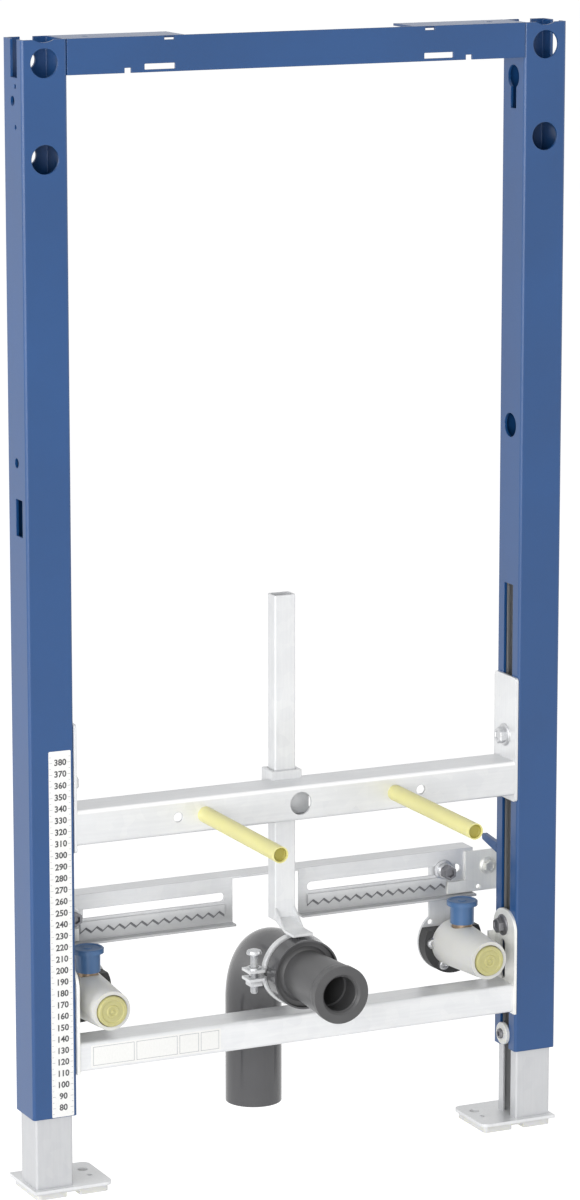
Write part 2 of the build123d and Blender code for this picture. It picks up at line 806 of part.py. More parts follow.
# telescoping leg, an open profile inside the upright
with BuildPart() as left_leg:
    with BuildSketch(Plane.XY.offset(foot_top)):
        with Locations((-post_x, post_y)):
            RectangleRounded(leg, leg, leg_r)
            Rectangle(leg - 2 * leg_t, leg - 2 * leg_t, mode=Mode.SUBTRACT)
        with Locations((-post_x + leg / 2, post_y)):
            Rectangle(4 * leg_t, leg_slot_w, mode=Mode.SUBTRACT)
    extrude(amount=leg_top - foot_top)
export_pair(left_leg, "leg")

# foot plate under the leg
with BuildPart() as left_foot_plate:
    with BuildSketch(Plane.XY.offset(pad_h)) as foot_outline:
        with Locations((-foot_x, foot_y)):
            Rectangle(foot_w, foot_d)
        fillet(foot_outline.vertices().group_by(Axis.X)[-1], foot_r)
        with Locations((-foot_hole_x, foot_hole_y)):
            Circle(foot_hole_r, mode=Mode.SUBTRACT)
        with Locations((-foot_hole_x, foot_hole_y - small_hole_fwd)):
            Circle(small_hole_r, mode=Mode.SUBTRACT)
    extrude(amount=foot_t)
export_pair(left_foot_plate, "foot_plate")

# rubber pad under the foot plate
with BuildPart() as left_foot_pad:
    with BuildSketch(Plane.XY) as pad_outline:
        with Locations((-foot_x, foot_y)):
            Rectangle(foot_w - 2 * pad_inset, foot_d - 2 * pad_inset)
        fillet(pad_outline.vertices(), foot_r - pad_inset)
        with Locations((-foot_hole_x, foot_hole_y)):
            Circle(foot_hole_r, mode=Mode.SUBTRACT)
    extrude(amount=pad_h)
    with BuildSketch(Plane.XY):
        with Locations((-foot_x, foot_y)):
            Rectangle(pad_groove_w, foot_d)
    extrude(amount=pad_groove_h, mode=Mode.SUBTRACT)
export_pair(left_foot_pad, "foot_pad")

# clamping disc that holds the leg at its height
with BuildPart() as left_leg_brake:
    with BuildSketch(Plane.YZ.offset(-inner_x)):
        with Locations((post_y, brake_z)):
            Circle(brake_r)
            Circle(brake_hole_r, mode=Mode.SUBTRACT)
    extrude(amount=brake_t)
    fillet(left_leg_brake.faces().sort_by(Axis.X)[-1].outer_wire().edges(), brake_round)
export_pair(left_leg_brake, "leg_brake")
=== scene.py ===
"""Looks of the installation frame for a wall hung bidet."""
import json
import math
from collections import namedtuple

import bmesh
import bpy
from mathutils import Matrix, Vector


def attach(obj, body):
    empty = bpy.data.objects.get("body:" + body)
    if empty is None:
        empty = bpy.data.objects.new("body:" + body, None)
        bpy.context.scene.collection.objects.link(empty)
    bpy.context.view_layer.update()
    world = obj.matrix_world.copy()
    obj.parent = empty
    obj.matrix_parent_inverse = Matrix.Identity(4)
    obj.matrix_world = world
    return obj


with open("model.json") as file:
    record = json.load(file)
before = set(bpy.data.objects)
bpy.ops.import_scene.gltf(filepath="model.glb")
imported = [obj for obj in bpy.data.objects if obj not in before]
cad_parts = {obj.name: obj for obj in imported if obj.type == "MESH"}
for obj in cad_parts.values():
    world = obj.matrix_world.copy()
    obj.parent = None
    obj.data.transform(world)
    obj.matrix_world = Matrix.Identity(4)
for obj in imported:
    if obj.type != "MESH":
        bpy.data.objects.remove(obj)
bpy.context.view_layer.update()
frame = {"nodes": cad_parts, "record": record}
MM = 0.001
SIDES = (("left", -1), ("right", 1))
FORWARD = (0, -1, 0)
BACKWARD = (0, 1, 0)
UPWARD = (0, 0, 1)

Point = namedtuple("Point", "x y z")
Span = namedtuple("Span", "low mid high")
Zone = namedtuple("Zone", "low high tone")
Band = namedtuple("Band", "low high stops")


def span(name):
    """Corners and middle of a CAD node at rest, in millimetres to a micron."""
    corners = [[value / MM for value in corner] for corner in frame["nodes"][name].bound_box]
    low = Point(*[round(min(values), 3) for values in zip(*corners)])
    high = Point(*[round(max(values), 3) for values in zip(*corners)])
    return Span(low, Point(*[round((a + b) / 2, 3) for a, b in zip(low, high)]), high)


# places taken from the frame, in millimetres
UPRIGHT = span("right_upright")
LEG = span("right_leg")
BRAKE = span("right_leg_brake")
SLEEVE = span("right_stud_sleeve")
LINING = span("clamp_lining")
RAIL = span("supply_rail")
TAP = span("right_tap_sleeve")
CAP = span("right_inlet_cap")
LOW_BAR = span("lower_bar")
BAR_BRACKET = span("right_bar_bracket")
FRONT = UPRIGHT.low.y
POST_Y = LEG.mid.y
SEAL_FRONT = span("waste_seal").low.y
RAIL_Y = span("right_rail_bracket").high.y
TAP_PAD_Y = span("right_tap_pad").low.y
PLUG_FRONT = span("right_tap_plug").low.y

# holes and teeth of the CAD, which the boxes of its nodes don't show, in millimetres
BAR_BOLT_Z = BAR_BRACKET.high.z - 54.0
LOW_BOLT_Z = span("right_lower_bracket").high.z - 15.0
ARM_BOLT_X = 218.0
ARM_T = 2.5
NUT_LEFT = 5.5
RAIL_SLOT_Z = RAIL.low.z + 25.5
LUG_X = 40.0
RACK_X = 40.0
RACK_Z = RAIL.low.z + 10.0
TEETH = 13
TOOTH_PITCH = 10.5
TOOTH_H = 4.0

# zones of painted shade on the zinc, in millimetres: the hollow of the legs, each leg's face behind the
# upright's slot over the run of its brake, the racks' band
ZONE_SKIN = 1.6
ZONE_TOP = 600.0
TRACK_HALF = 9.5
TRACK_OUT = 1.0
TRACK_BOTTOM = UPRIGHT.low.z + 4.5
BAND_BELOW = 4.0
BAND_ABOVE = 26.0
# painted shade in the hollow of each leg
LEG_HOLLOW_SHADE = Zone(
    low=(LEG.low.x + ZONE_SKIN, LEG.low.y + ZONE_SKIN, 0.0),
    high=(LEG.high.x - ZONE_SKIN, LEG.high.y - ZONE_SKIN, ZONE_TOP),
    tone=0.75,
)
# painted shade on each leg's face behind the upright's slot, from just above the brake's lowest place up
LEG_TRACK_SHADE = Zone(
    low=(LEG.low.x - TRACK_OUT, POST_Y - TRACK_HALF, TRACK_BOTTOM),
    high=(LEG.low.x + ZONE_SKIN, POST_Y + TRACK_HALF, ZONE_TOP),
    tone=0.4,
)
# painted shade and dark reflection: the rail made darker in a band around its racks
RACK_SHADE_BAND = Band(
    low=RAIL.low.z - BAND_BELOW,
    high=RAIL.low.z + BAND_ABOVE,
    stops=[(0.0, 0.8), (0.14, 0.72), (0.37, 0.66), (0.6, 0.74), (0.8, 0.93), (1.0, 1.0)],
)


# materials
def srgb(r, g, b):
    """Linear colour from 0 to 255 display values."""
    out = []
    for v in (r, g, b):
        v /= 255.0
        out.append(v / 12.92 if v <= 0.04045 else ((v + 0.055) / 1.055) ** 2.4)
    return (*out, 1.0)


def shade(color, k):
    """The colour made lighter or darker by a factor."""
    return (*[min(1.0, c * k) for c in color[:3]], 1.0)


def grey(k):
    """Neutral colour of one level."""
    return (k, k, k, 1)


class Paint:
    """A material with helpers for textures on object coordinates, which are metres here."""

    def __init__(self, name, rough, metal=0.0, specular=0.5):
        self.mat = bpy.data.materials.new(name)
        self.mat.use_nodes = True
        self.nodes = self.mat.node_tree.nodes
        self.links = self.mat.node_tree.links
        self.bsdf = self.nodes["Principled BSDF"]
        self.bsdf.inputs["Roughness"].default_value = rough
        self.bsdf.inputs["Metallic"].default_value = metal
        self.bsdf.inputs["Specular IOR Level"].default_value = specular
        self.place = self.nodes.new("ShaderNodeTexCoord").outputs["Object"]
        self.normal = None

    def feed(self, socket, value):
        """Set a socket to a plain value, or link an output to it."""
        if isinstance(value, (float, tuple)):
            socket.default_value = value
        else:
            self.links.new(value, socket)

    def axes(self, vector):
        """The three parts of a vector."""
        node = self.nodes.new("ShaderNodeSeparateXYZ")
        self.feed(node.inputs["Vector"], vector)
        return node.outputs["X"], node.outputs["Y"], node.outputs["Z"]

    def math(self, operation, a, b=0.0):
        """Result of one sum on one or two values."""
        node = self.nodes.new("ShaderNodeMath")
        node.operation = operation
        self.feed(node.inputs[0], a)
        self.feed(node.inputs[1], b)
        return node.outputs["Value"]

    def ranged(self, value, start, end, low=0.0, high=1.0):
        """The value brought from one range to another and kept within it."""
        node = self.nodes.new("ShaderNodeMapRange")
        for name, number in (("From Min", start), ("From Max", end), ("To Min", low), ("To Max", high)):
            node.inputs[name].default_value = number
        self.feed(node.inputs["Value"], value)
        return node.outputs["Result"]

    def noise(self, scale, detail=3.0, stretch=(1, 1, 1)):
        """Soft noise, stretched along the axes with a small factor."""
        mapping = self.nodes.new("ShaderNodeMapping")
        mapping.inputs["Scale"].default_value = stretch
        self.feed(mapping.inputs["Vector"], self.place)
        node = self.nodes.new("ShaderNodeTexNoise")
        node.inputs["Scale"].default_value = scale
        node.inputs["Detail"].default_value = detail
        node.inputs["Roughness"].default_value = 0.55
        self.feed(node.inputs["Vector"], mapping.outputs["Vector"])
        return node.outputs["Fac"]

    def cells(self, scale):
        """Crystal cells, each of one random colour."""
        node = self.nodes.new("ShaderNodeTexVoronoi")
        node.inputs["Scale"].default_value = scale
        self.feed(node.inputs["Vector"], self.place)
        return node.outputs["Color"]

    def ramp(self, value, stops):
        """Colour that follows a value through (place, colour) stops."""
        node = self.nodes.new("ShaderNodeValToRGB")
        ramp = node.color_ramp
        while len(ramp.elements) < len(stops):
            ramp.elements.new(0.5)
        for element, (place, color) in zip(ramp.elements, stops):
            element.position = place
            element.color = color
        self.feed(node.inputs["Fac"], value)
        return node.outputs["Color"]

    def mix(self, factor, a, b, blend="MIX"):
        """Two colours mixed. Inputs 6 and 7 and output 2 are the colour sockets of the node."""
        node = self.nodes.new("ShaderNodeMix")
        node.data_type = "RGBA"
        node.blend_type = blend
        self.feed(node.inputs[0], factor)
        self.feed(node.inputs[6], a)
        self.feed(node.inputs[7], b)
        return node.outputs[2]

    def times(self, a, b):
        """Two colours multiplied."""
        return self.mix(1.0, a, b, "MULTIPLY")

    def bends(self):
        """One half way round a bend from a front face to a top face, and nought on flat faces."""
        surface = self.nodes.new("ShaderNodeNewGeometry")
        _, y, z = self.axes(surface.outputs["Normal"])
        return self.ranged(self.math("MULTIPLY", y, z), -0.05, -0.4)

    def within(self, low, high):
        """One within a box and its mirror image, from corners in millimetres, and nought outside."""
        x, y, z = self.axes(self.place)
        value = 1.0
        for place, start, end in zip((self.math("ABSOLUTE", x), y, z), low, high):
            value = self.math("MULTIPLY", self.math("GREATER_THAN", place, start * MM), value)
            value = self.math("MULTIPLY", self.math("LESS_THAN", place, end * MM), value)
        return value

    def heights(self, low, high, stops):
        """Tone that follows the height between two levels in millimetres."""
        _, _, z = self.axes(self.place)
        return self.ramp(self.ranged(z, low * MM, high * MM), [(at, grey(k)) for at, k in stops])

    def color(self, value):
        """Give the surface its colour."""
        self.feed(self.bsdf.inputs["Base Color"], value)

    def rough(self, value, low, high):
        """Let the roughness follow a value."""
        self.feed(self.bsdf.inputs["Roughness"], self.ranged(value, 0.0, 1.0, low, high))

    def soft_edges(self, radius):
        """Let edges catch the light as if they were broken by a small radius."""
        node = self.nodes.new("ShaderNodeBevel")
        node.samples = 4
        node.inputs["Radius"].default_value = radius
        self.normal = node.outputs["Normal"]

    def bump(self, value, strength, depth):
        """Raise the surface by a value, on top of its soft edges."""
        node = self.nodes.new("ShaderNodeBump")
        node.inputs["Strength"].default_value = strength
        node.inputs["Distance"].default_value = depth
        self.feed(node.inputs["Height"], value)
        if self.normal:
            self.feed(node.inputs["Normal"], self.normal)
        self.feed(self.bsdf.inputs["Normal"], node.outputs["Normal"])


def powder_coat(name, color):
    """Even paint with a fine orange peel."""
    p = Paint(name, 0.4, specular=0.62)
    cloud = p.noise(scale=9.0, detail=4.0)
    tone = p.ramp(cloud, [(0.35, shade(color, 0.95)), (0.65, shade(color, 1.05))])
    fleck = p.ramp(p.noise(scale=2600.0, detail=2.0), [(0.3, grey(0.93)), (0.7, grey(1.06))])
    p.color(p.times(tone, fleck))
    p.rough(cloud, low=0.28, high=0.36)
    p.soft_edges(radius=0.0009)
    p.bump(p.noise(scale=1500.0, detail=2.0), strength=0.14, depth=0.0003)
    return p.mat


def galvanised(name, color, metal, grain, painted_highlight=0.0, shade_band=None, shaded_zones=()):
    """Zinc sheet with faint spangles and rolling lines, and where asked a painted highlight on bends, a
    painted shade band by height and painted shade within boxes.
    """
    p = Paint(name, 0.36, metal)
    spangle = p.cells(scale=95.0)
    streak = p.noise(scale=420.0, detail=3.0, stretch=grain)
    tone = p.ramp(p.noise(scale=14.0, detail=4.0), [(0.3, shade(color, 0.94)), (0.7, shade(color, 1.03))])
    flake = p.ramp(spangle, [(0.0, (0.955, 0.958, 0.965, 1)), (1.0, (1.02, 1.02, 1.015, 1))])
    line = p.ramp(streak, [(0.3, (0.97, 0.97, 0.975, 1)), (0.7, grey(1.02))])
    sheet = p.times(p.times(tone, flake), line)
    # painted highlight: the colour made lighter round the bends from front faces to top faces
    if painted_highlight:
        sheet = p.mix(p.bends(), sheet, shade(color, painted_highlight))
    # painted shade: the colour made darker by height
    if shade_band:
        sheet = p.times(sheet, p.heights(shade_band.low, shade_band.high, shade_band.stops))
    # painted shade: the colour made darker within boxes
    for zone in shaded_zones:
        sheet = p.mix(p.within(zone.low, zone.high), sheet, shade(color, zone.tone))
    p.color(sheet)
    p.rough(spangle, low=0.3, high=0.42)
    p.soft_edges(radius=0.0008)
    p.bump(streak, strength=0.12, depth=0.0003)
    return p.mat


def plated(name, color, rough):
    """Plated or turned metal with fine marks."""
    p = Paint(name, rough, metal=0.85)
    turn = p.noise(scale=700.0)
    p.color(p.ramp(turn, [(0.3, shade(color, 0.88)), (0.7, shade(color, 1.06))]))
    p.rough(turn, low=rough - 0.06, high=rough + 0.1)
    p.bump(turn, strength=0.1, depth=0.0002)
    return p.mat


def moulded(name, color, rough, soft=0.0, spread=0.004):
    """Moulded plastic, which lets light in where soft is set."""
    p = Paint(name, rough)
    cloud = p.noise(scale=22.0)
    p.color(p.ramp(cloud, [(0.3, shade(color, 0.95)), (0.7, shade(color, 1.04))]))
    p.rough(cloud, low=rough - 0.05, high=rough + 0.06)
    p.bump(p.noise(scale=1400.0, detail=2.0), strength=0.1, depth=0.0003)
    if soft:
        p.bsdf.inputs["Subsurface Weight"].default_value = soft
        p.bsdf.inputs["Subsurface Radius"].default_value = (1.0, 0.9, 0.35)
        p.bsdf.inputs["Subsurface Scale"].default_value = spread
    return p.mat


def rubber(name, color, rough):
    """Dull rubber with a fine grain."""
    p = Paint(name, rough, specular=0.4)
    cloud = p.noise(scale=30.0, detail=4.0)
    p.color(p.ramp(cloud, [(0.3, shade(color, 0.9)), (0.7, shade(color, 1.1))]))
    p.rough(cloud, low=rough - 0.06, high=rough + 0.08)
    p.bump(p.noise(scale=2200.0, detail=2.0), strength=0.2, depth=0.0003)
    return p.mat


def paper(name, color):
    """Paper or print with a faint fibre."""
    p = Paint(name, 0.5)
    fibre = p.noise(scale=900.0, detail=4.0, stretch=(1, 1, 0.4))
    p.color(p.ramp(fibre, [(0.3, shade(color, 0.97)), (0.7, shade(color, 1.02))]))
    p.rough(fibre, low=0.42, high=0.55)
    return p.mat


ROLLED_ALONG = (0.05, 1, 1)
ROLLED_UP = (1, 1, 0.08)
DRAWN_UP = (1, 1, 0.05)
BLUE = powder_coat("powder_blue", srgb(22, 71, 125))
ZINC = galvanised("zinc_sheet", srgb(226, 227, 228), 0.3, ROLLED_UP)
# zinc of the ceramic bar, with a painted highlight along its top bend
ZINC_LONG = galvanised("zinc_sheet_long", srgb(225, 226, 227), 0.3, ROLLED_ALONG, painted_highlight=1.36)
# painted light: a lighter copy of the long bars' zinc, standing in for more light on the lower bar
ZINC_LOW_PAINTED_LIGHT = galvanised("zinc_sheet_low_painted_light", srgb(234, 235, 236), 0.3, ROLLED_ALONG)
# zinc of the rail, with a band of painted shade around its racks
ZINC_RAIL = galvanised("zinc_sheet_rail", srgb(224, 225, 226), 0.3, ROLLED_ALONG, shade_band=RACK_SHADE_BAND)
# painted light: a lighter, warmer copy of the zinc for the brackets' plates, standing in for more light
# on them
ZINC_PLATE_PAINTED_LIGHT = galvanised("zinc_plate_painted_light", srgb(243, 243, 239), 0.3, ROLLED_UP)
# zinc of the legs, with painted shade in their hollow and behind the uprights' slots
ZINC_LEG = galvanised("zinc_profile", srgb(198, 199, 201), 0.35, DRAWN_UP, shaded_zones=(LEG_HOLLOW_SHADE, LEG_TRACK_SHADE))
DULL_STEEL = plated("dull_steel", srgb(228, 228, 224), 0.5)
STEEL = plated("plated_steel", srgb(205, 206, 208), 0.32)
DARK_STEEL = plated("dark_steel", srgb(128, 128, 132), 0.36)
BRASS = plated("turned_brass", srgb(152, 134, 114), 0.4)
YELLOW = moulded("yellow_plastic", srgb(226, 219, 150), 0.42, soft=0.35)
PLUG_YELLOW = moulded("plug_plastic", srgb(192, 187, 130), 0.45, soft=0.2, spread=0.003)
OLIVE = moulded("olive_plastic", srgb(164, 155, 72), 0.5)
WHITE = moulded("white_plastic", srgb(216, 216, 213), 0.42, soft=0.15, spread=0.003)
PALE_PAD = moulded("pale_plastic", srgb(214, 214, 212), 0.4, soft=0.3)
CAP_BLUE = moulded("cap_blue", srgb(70, 106, 150), 0.3)
PIPE = moulded("grey_pipe", srgb(82, 82, 84), 0.15)
SEAL = rubber("seal_rubber", srgb(82, 82, 83), 0.34)
RUBBER = rubber("black_rubber", srgb(58, 58, 59), 0.56)
LABEL = paper("label_paper", srgb(240, 240, 238))
INK = paper("label_ink", srgb(74, 74, 76))
INK_PALE = paper("label_pale_ink", srgb(176, 178, 182))
# painted shadow for the strips under the racks' teeth, with the paper's matte fibre
SHADE = paper("gap_shade", srgb(112, 113, 116))

SLOT_LOOKS = {
    "blue_coat": BLUE,
    "zinc_sheet": ZINC,
    "steel_rod": STEEL,
    "yellow_plastic": YELLOW,
    "black_rubber": RUBBER,
    "grey_pipe": PIPE,
    "brass_fitting": BRASS,
    "white_plastic": WHITE,
    "blue_plastic": CAP_BLUE,
}
NODE_LOOKS = {
    "ceramic_bar": ZINC_LONG,
    "lower_bar": ZINC_LOW_PAINTED_LIGHT,
    "supply_rail": ZINC_RAIL,
    "waste_seal": SEAL,
}
for side, _ in SIDES:
    NODE_LOOKS[side + "_leg"] = ZINC_LEG
    NODE_LOOKS[side + "_foot_pad"] = PALE_PAD
    NODE_LOOKS[side + "_tap_plug"] = PLUG_YELLOW
    NODE_LOOKS[side + "_rail_bracket"] = ZINC_PLATE_PAINTED_LIGHT
    NODE_LOOKS[side + "_lower_bracket"] = ZINC_PLATE_PAINTED_LIGHT
for row in frame["record"]["subparts"]:
    look = NODE_LOOKS.get(row["node"], SLOT_LOOKS[row["material_slot"]])
    for place in frame["nodes"][row["node"]].material_slots:
        place.material = look


# mesh helpers, in millimetres
CORNER_STEPS = 5
SHARP_DEG = 32


def along(axis, x, y, z):
    """Matrix that puts local +Z along an axis at a point."""
    turn = Vector(axis).to_track_quat("Z", "Y").to_matrix().to_4x4()
    return Matrix.Translation(Vector((x, y, z)) * MM) @ turn @ Matrix.Scale(MM, 4)


def upright_face(y):
    """Matrix from a drawing in X and Z, raised towards the front, to a plane across the depth."""
    turn = Matrix(((1, 0, 0, 0), (0, 0, -1, 0), (0, 1, 0, 0), (0, 0, 0, 1)))
    return Matrix.Translation((0, y * MM, 0)) @ turn @ Matrix.Scale(MM, 4)


def lathe(bm, profile, seg=36):
    """Surface of revolution about local Z from (radius, height) points."""
    rings = []
    for r, z in profile:
        if r == 0:
            rings.append([bm.verts.new((0, 0, z))])
            continue
        ring = []
        for n in range(seg):
            a = 2 * math.pi * n / seg
            ring.append(bm.verts.new((r * math.cos(a), r * math.sin(a), z)))
        rings.append(ring)
    for low, high in zip(rings, rings[1:]):
        for n in range(seg):
            m = (n + 1) % seg
            if len(low) == 1:
                bm.faces.new((low[0], high[m], high[n]))
            elif len(high) == 1:
                bm.faces.new((low[n], low[m], high[0]))
            else:
                bm.faces.new((low[n], low[m], high[m], high[n]))


def stack(bm, sides, sections):
    """Closed stack of regular polygons from (radius, height) sections, capped at both ends."""
    rings = []
    for r, z in sections:
        ring = []
        for n in range(sides):
            a = 2 * math.pi * (n + 0.5) / sides
            ring.append(bm.verts.new((r * math.cos(a), r * math.sin(a), z)))
        rings.append(ring)
    for low, high in zip(rings, rings[1:]):
        for n in range(sides):
            m = (n + 1) % sides
            bm.faces.new((low[n], low[m], high[m], high[n]))
    bm.faces.new(rings[0][::-1])
    bm.faces.new(rings[-1])


def slab(bm, points, low, high):
    """Outline in local X and Y made into a closed plate from low to high."""
    bottom = [bm.verts.new((x, y, low)) for x, y in points]
    top = [bm.verts.new((x, y, high)) for x, y in points]
    bm.faces.new(bottom[::-1])
    bm.faces.new(top)
    for n in range(len(points)):
        m = (n + 1) % len(points)
        bm.faces.new((bottom[n], bottom[m], top[m], top[n]))


def square(x0, y0, x1, y1):
    """Outline of a rectangle."""
    return [(x0, y0), (x1, y0), (x1, y1), (x0, y1)]


def rounded(x0, y0, x1, y1, r):
    """Outline of a rectangle with round corners."""
    corners = ((x1 - r, y0 + r, -90), (x1 - r, y1 - r, 0), (x0 + r, y1 - r, 90), (x0 + r, y0 + r, 180))
    points = []
    for cx, cy, start in corners:
        for n in range(CORNER_STEPS + 1):
            a = math.radians(start + 90 * n / CORNER_STEPS)
            points.append((cx + r * math.cos(a), cy + r * math.sin(a)))
    return points


def piece(name, bm, look, body, place):
    """Object made from a mesh in millimetres and set on a body."""
    bmesh.ops.recalc_face_normals(bm, faces=bm.faces)
    mesh = bpy.data.meshes.new(name)
    bm.to_mesh(mesh)
    bm.free()
    mesh.transform(place)
    mesh.materials.append(look)
    mesh.shade_smooth()
    mesh.set_sharp_from_angle(angle=math.radians(SHARP_DEG))
    obj = bpy.data.objects.new(name, mesh)
    bpy.context.scene.collection.objects.link(obj)
    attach(obj, body)


def turned(name, profile, look, place, seg=36):
    """Piece on the frame made by one profile about its axis."""
    bm = bmesh.new()
    lathe(bm, profile, seg)
    piece(name, bm, look, "frame", place)


# fasteners and moulded faces, by profiles of (radius, height) points
def hex_bolt(name, axis, x, y, z, across, head, flange, look=STEEL):
    """Flanged hexagon bolt head that sits on a face of the frame."""
    bm = bmesh.new()
    lathe(bm, [(0, -1.5), (flange * 0.6, -1.5), (flange * 0.6, 0), (flange, 0), (flange, 0.9),
               (flange - 0.8, 1.6), (across * 0.56, 2.0), (0, 2.0)])
    r = across / math.sqrt(3)
    stack(bm, 6, [(r, 1.8), (r, head - 0.8), (r * 0.9, head), (r * 0.62, head), (r * 0.55, head - 0.8)])
    piece(name, bm, look, "frame", along(axis, x, y, z))


def pan_screw(name, axis, x, y, z, r, h, look=STEEL):
    """Pan head screw with a round socket, on a face of the frame."""
    profile = [(0, -1.0), (r * 0.5, -1.0), (r * 0.5, 0), (r, 0), (r, h * 0.5), (r * 0.9, h * 0.85),
               (r * 0.7, h), (r * 0.48, h), (r * 0.42, h * 0.45), (0, h * 0.4)]
    turned(name, profile, look, along(axis, x, y, z), 24)


def thread(r, depth, pitch, low, high):
    """Profile points of ring threads along a rod."""
    points = []
    turns = int((high - low) / pitch)
    for n in range(turns):
        points += [(r - depth, low + n * pitch), (r, low + (n + 0.5) * pitch)]
    return points + [(r - depth, low + turns * pitch)]


# sizes, and for the outlet's screws their places inward from its axis and over it
BAR_BOLT = {"across": 13.0, "head": 7.5, "flange": 10.0}
LOW_BOLT = {"across": 12.0, "head": 7.0, "flange": 9.5, "look": DARK_STEEL}
ARM_BOLT = {"across": 10.0, "head": 6.0, "flange": 8.0, "look": DULL_STEEL}
BRAKE_SCREW = {"r": 4.6, "h": 2.6, "look": DARK_STEEL}
TAP_SCREW = {"r": 4.8, "h": 3.4}
TAP_SCREWS = (("side", 21.5, 1.0), ("low", 10.0, -19.5))
RAIL_WASHER = [(0, -1.5), (3.4, -1.5), (3.4, 0), (9.0, 0), (9.2, 0.5), (9.0, 1.8), (7.2, 2.2), (7.2, 6.4),
               (6.6, 7.0), (0, 7.0)]
RAIL_NUT = [(6.6, 6.8), (6.6, 14.0), (6.0, 15.0), (3.8, 15.0), (3.4, 12.6)]
SLEEVE_END = [(0, -9.0), (5.95, -9.0), (5.95, -2.2), (5.2, -1.8), (4.2, -2.8), (0, -2.8)]
PLUG_FACE = [(0, -0.4), (13.0, -0.4), (13.0, 0.5), (12.4, 1.0), (10.2, 1.0), (9.4, 0.3), (5.8, 0.3),
             (5.2, 1.2), (3.8, 1.2), (3.2, 0.4), (1.8, 0.4), (1.2, 1.2), (0, 1.3)]
CAP_FACE = [(0, -0.3), (13.4, -0.3), (13.4, 0.5), (12.8, 0.9), (11.4, 0.9), (10.6, 0.2), (4.0, 0.2),
            (3.4, 0.8), (0, 0.8)]

for side, sign in SIDES:
    # bolts of the brackets and screw of the leg's brake
    inward = (-sign, 0, 0)
    plate_x = sign * BAR_BRACKET.low.x
    hex_bolt(side + "_bar_bolt", inward, plate_x, POST_Y, BAR_BOLT_Z, **BAR_BOLT)
    hex_bolt(side + "_low_bolt", inward, plate_x, POST_Y, LOW_BOLT_Z, **LOW_BOLT)
    pan_screw(side + "_brake_screw", inward, sign * BRAKE.low.x, POST_Y, BRAKE.mid.z, **BRAKE_SCREW)
    hex_bolt(side + "_arm_bolt", FORWARD, sign * ARM_BOLT_X, RAIL_Y - ARM_T, RAIL_SLOT_Z, **ARM_BOLT)
    # washer and nut that hold the outlet's plate on the rail
    tap_x = sign * TAP.mid.x
    nut_place = along(FORWARD, tap_x - NUT_LEFT, RAIL_Y, RAIL_SLOT_Z)
    turned(side + "_rail_washer", RAIL_WASHER, STEEL, nut_place)
    bm = bmesh.new()
    stack(bm, 6, RAIL_NUT)
    piece(side + "_rail_nut", bm, DARK_STEEL, "frame", nut_place)
    # screws of the outlet's pad
    for label, dx, dz in TAP_SCREWS:
        screw_x = sign * (TAP.mid.x - dx)
        pan_screw(side + "_tap_screw_" + label, FORWARD, screw_x, TAP_PAD_Y, TAP.mid.z + dz, **TAP_SCREW)
    # closed end in the stud's sleeve, face of the outlet's plug and rim of the inlet's cap
    turned(side + "_sleeve_end", SLEEVE_END, OLIVE,
           along(FORWARD, sign * SLEEVE.mid.x, SLEEVE.low.y, SLEEVE.mid.z))
    turned(side + "_plug_face", PLUG_FACE, PLUG_YELLOW,
           along(FORWARD, tap_x, PLUG_FRONT, TAP.mid.z), 48)
    turned(side + "_cap_face", CAP_FACE, CAP_BLUE,
           along(UPWARD, tap_x, CAP.mid.y, CAP.high.z), 40)

# screw through the clamp's lugs with its washer and square nut, by heights over the pipe's axis
SCREW_FOOT = [(0, -17.0), (2.6, -17.0)]
SCREW_THREAD = thread(3.4, 0.45, 1.25, -16.0, 17.0)
SCREW_HEAD = [(3.0, 17.5), (6.6, 18.0), (6.8, 19.2), (6.0, 21.0), (3.6, 22.0), (0, 22.0)]
SQUARE_NUT = [(7.6, -9.9), (7.8, -9.3), (7.8, -5.6), (7.6, -5.0)]
LUG_WASHER = [(4.2, 5.0), (6.4, 5.0), (6.4, 6.3), (4.2, 6.3), (4.2, 5.0)]
bm = bmesh.new()
lathe(bm, SCREW_FOOT + SCREW_THREAD + SCREW_HEAD, 24)
stack(bm, 4, SQUARE_NUT)
lathe(bm, LUG_WASHER, 24)
piece("clamp_screw", bm, STEEL, "waste_carrier",
      Matrix.Translation(Vector((-LUG_X, LINING.mid.y, LINING.mid.z)) * MM) @ Matrix.Scale(MM, 4))

# soft ribs inside the mouth of the seal, by their depth from its front
RIB_DEPTHS = (4.2, 26.0)
RIB = [(16.2, -1.6), (15.1, -0.5), (14.9, 0.0), (15.1, 0.5), (16.2, 1.6)]
bm = bmesh.new()
for depth in RIB_DEPTHS:
    lathe(bm, [(r, depth + z) for r, z in RIB], 64)
piece("seal_ribs", bm, SEAL, "waste_carrier", along(BACKWARD, 0, SEAL_FRONT, LINING.mid.z))

# painted shadow: a dark strip on the web under the teeth of each rack
SHADOW_STRIP_H = 2.4
SHADOW_STRIP_SUNK = -0.2
SHADOW_STRIP_RAISED = 0.3
for side, sign in SIDES:
    edge = []
    for n in range(2 * TEETH + 1):
        edge.append((sign * (RACK_X + n * TOOTH_PITCH / 2), RACK_Z + (n % 2) * TOOTH_H))
    bm = bmesh.new()
    for (x0, z0), (x1, z1) in zip(edge, edge[1:]):
        slab(bm, [(x0, z0), (x1, z1), (x1, z1 - SHADOW_STRIP_H), (x0, z0 - SHADOW_STRIP_H)], SHADOW_STRIP_SUNK, SHADOW_STRIP_RAISED)
    piece(side + "_rack_painted_shadow", bm, SHADE, "frame", upright_face(RAIL_Y))

